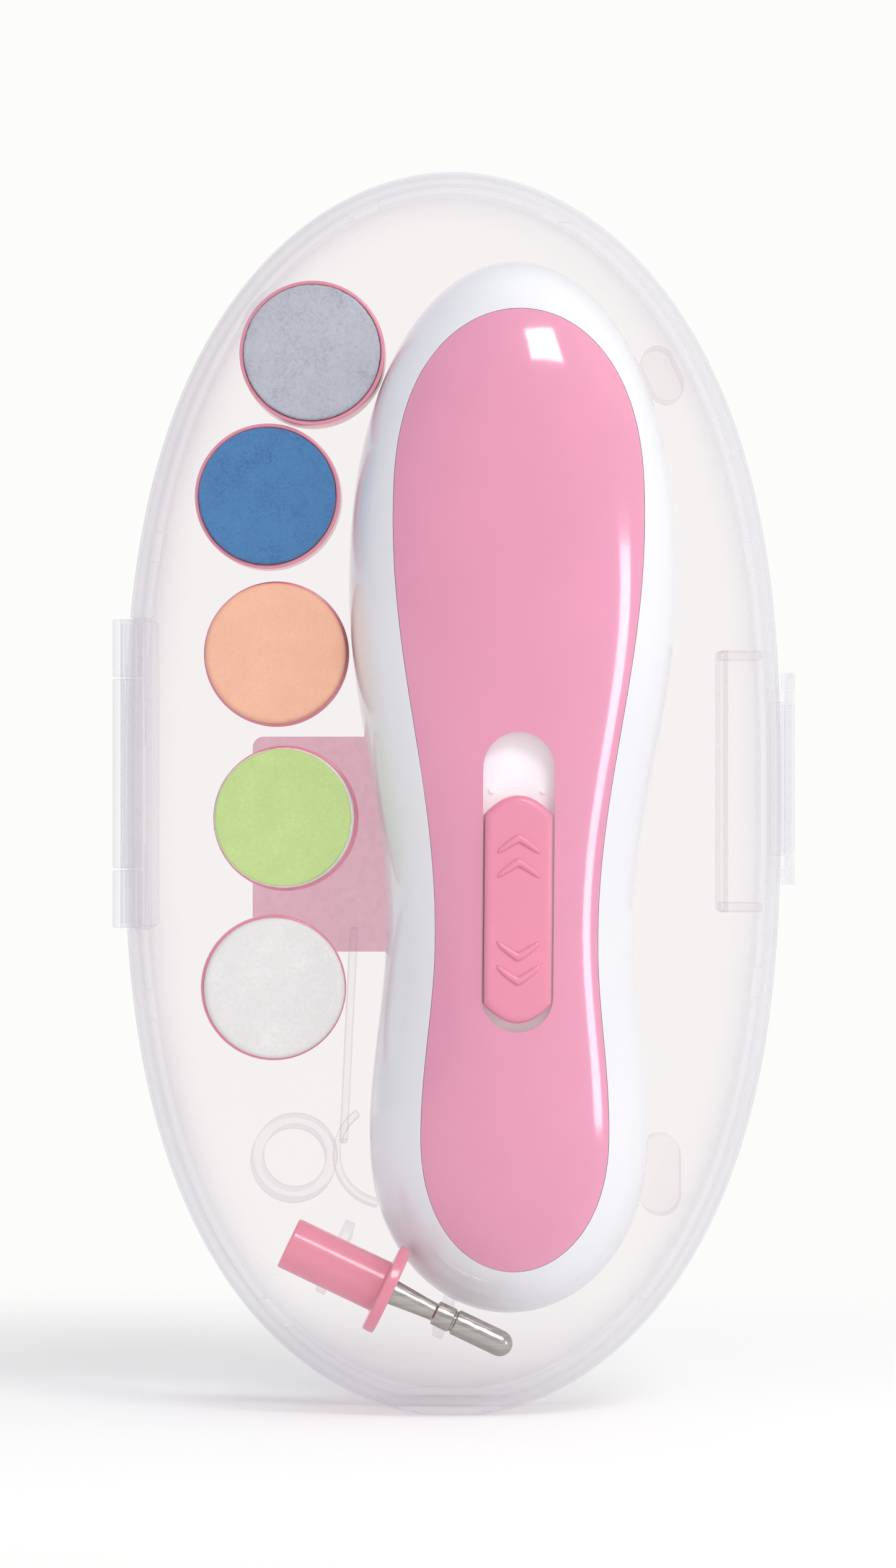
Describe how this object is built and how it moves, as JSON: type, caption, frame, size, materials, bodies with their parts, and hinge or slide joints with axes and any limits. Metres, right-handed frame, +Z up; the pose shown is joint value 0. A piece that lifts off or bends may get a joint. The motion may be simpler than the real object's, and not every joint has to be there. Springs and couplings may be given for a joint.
{
  "type": "nail and callus grinder set",
  "caption": "Battery handheld nail and callus grinder with plug-in grinding heads and a metal bit, stored in a clear oval hinged case.",
  "frame": {"origin": "centre of the box round the closed case, on the surface that its small foot stands on", "axes": "+Z up along the case, from foot to top; the lid faces -Y; +X is to the right as seen from the lid, where the latch is"},
  "size_m": [0.0914, 0.038, 0.1655],
  "materials": {
    "clear_case": "clear polypropylene with a faint pink-grey haze, glossy",
    "clear_latch": "clear polypropylene, slightly frosted",
    "pin_steel": "drawn steel wire pin",
    "pink_label": "blank pink printed label",
    "white_shell": "glossy white ABS",
    "pink_panel": "high-gloss pink ABS",
    "pink_button": "satin pink ABS",
    "white_inner": "satin white plastic",
    "cell": "bare metal cell case with a plain sleeve",
    "contact_steel": "nickel-plated spring steel",
    "board": "green fibreglass board",
    "black_plastic": "black moulded plastic",
    "motor_steel": "zinc-plated steel can",
    "magnet": "sintered ferrite",
    "copper": "enamelled copper winding on a laminated core",
    "red_wire": "red PVC insulation",
    "black_wire": "black PVC insulation",
    "head_pink": "glossy pink moulded plastic",
    "grey_abrasive": "grey non-woven fibre abrasive",
    "blue_abrasive": "blue grit-coated abrasive",
    "orange_pad": "smooth peach-orange fine abrasive rubber",
    "green_pad": "smooth light green fine abrasive foam",
    "white_foam": "white foam",
    "white_felt": "white polishing felt",
    "bit_steel": "fine-ground steel"
  },
  "bodies": {
    "case": {"case_base": "clear_case", "hinge_pin": "clear_latch", "back_label": "pink_label"},
    "lid": {"case_lid": "clear_case", "latch_pin": "clear_latch"},
    "latch": {"case_latch": "clear_latch"},
    "unit": {"front_shell": "white_shell", "rear_shell": "white_shell", "front_panel": "pink_panel", "battery_cells": "cell", "battery_springs": "contact_steel", "contact_plates": "contact_steel", "battery_tray": "white_inner", "switch_board": "board", "switch_body": "black_plastic", "motor_can": "motor_steel", "motor_magnets": "magnet", "motor_end_cap": "white_inner", "nose_bush": "white_inner", "lead_red": "red_wire", "lead_black": "black_wire", "shell_screws": "pin_steel"},
    "switch": {"slide_button": "pink_button", "switch_carrier": "white_inner"},
    "battery_cover": {"battery_door": "white_shell"},
    "spindle": {"motor_rotor": "copper", "motor_shaft": "pin_steel", "drive_spindle": "bit_steel"},
    "grey_head": {"grey_head_base": "head_pink", "grey_pad": "grey_abrasive"},
    "blue_head": {"blue_head_base": "head_pink", "blue_pad": "blue_abrasive"},
    "orange_head": {"orange_head_base": "head_pink", "orange_pad": "orange_pad"},
    "green_head": {"green_head_base": "head_pink", "green_foam_ring": "white_foam", "green_pad": "green_pad"},
    "white_head": {"white_head_base": "head_pink", "white_pad": "white_felt"},
    "bit": {"bit_holder": "head_pink", "metal_bit": "bit_steel"}
  },
  "joints": [
    {"name": "lid_hinge", "type": "hinge", "parent": "case", "child": "lid", "pos_m": [-0.04367, 0, 0.085], "axis": [0, 0, -1], "range_deg": [0, 150]},
    {"name": "latch_hinge", "type": "hinge", "parent": "lid", "child": "latch", "pos_m": [0.0447, -0.0075, 0.0843], "axis": [0, 0, -1], "range_deg": [0, 75]},
    {"name": "unit_lift", "type": "slide", "parent": "case", "child": "unit", "axis": [0, -1, 0], "range_m": [0, 0.001]},
    {"name": "switch_slide", "type": "slide", "parent": "unit", "child": "switch", "axis": [0.0078, 0.0005, 1], "range_m": [0, 0.0075]},
    {"name": "battery_cover_slide", "type": "slide", "parent": "unit", "child": "battery_cover", "axis": [0.0078, 0.0005, 1], "range_m": [0, 0.006]},
    {"name": "spindle_spin", "type": "hinge", "parent": "unit", "child": "spindle", "pos_m": [0.0074, 0.0012, 0.0125], "axis": [0.0078, 0.0005, 1], "continuous": true},
    {"name": "grey_head_lift", "type": "slide", "parent": "case", "child": "grey_head", "axis": [-0.0435, -0.9952, 0.0872], "range_m": [0, 0.005]},
    {"name": "blue_head_lift", "type": "slide", "parent": "case", "child": "blue_head", "axis": [-0.0523, -0.9977, 0.0436], "range_m": [0, 0.008]},
    {"name": "orange_head_lift", "type": "slide", "parent": "case", "child": "orange_head", "axis": [-0.0262, -0.9993, 0.0262], "range_m": [0, 0.008]},
    {"name": "green_head_lift", "type": "slide", "parent": "case", "child": "green_head", "axis": [-0.0871, -0.9959, 0.0262], "range_m": [0, 0.008]},
    {"name": "white_head_lift", "type": "slide", "parent": "case", "child": "white_head", "axis": [0.0785, -0.9969, 0.0052], "range_m": [0, 0.008]},
    {"name": "bit_lift", "type": "slide", "parent": "case", "child": "bit", "axis": [0, -1, 0], "range_m": [0, 0.0012]}
  ]
}
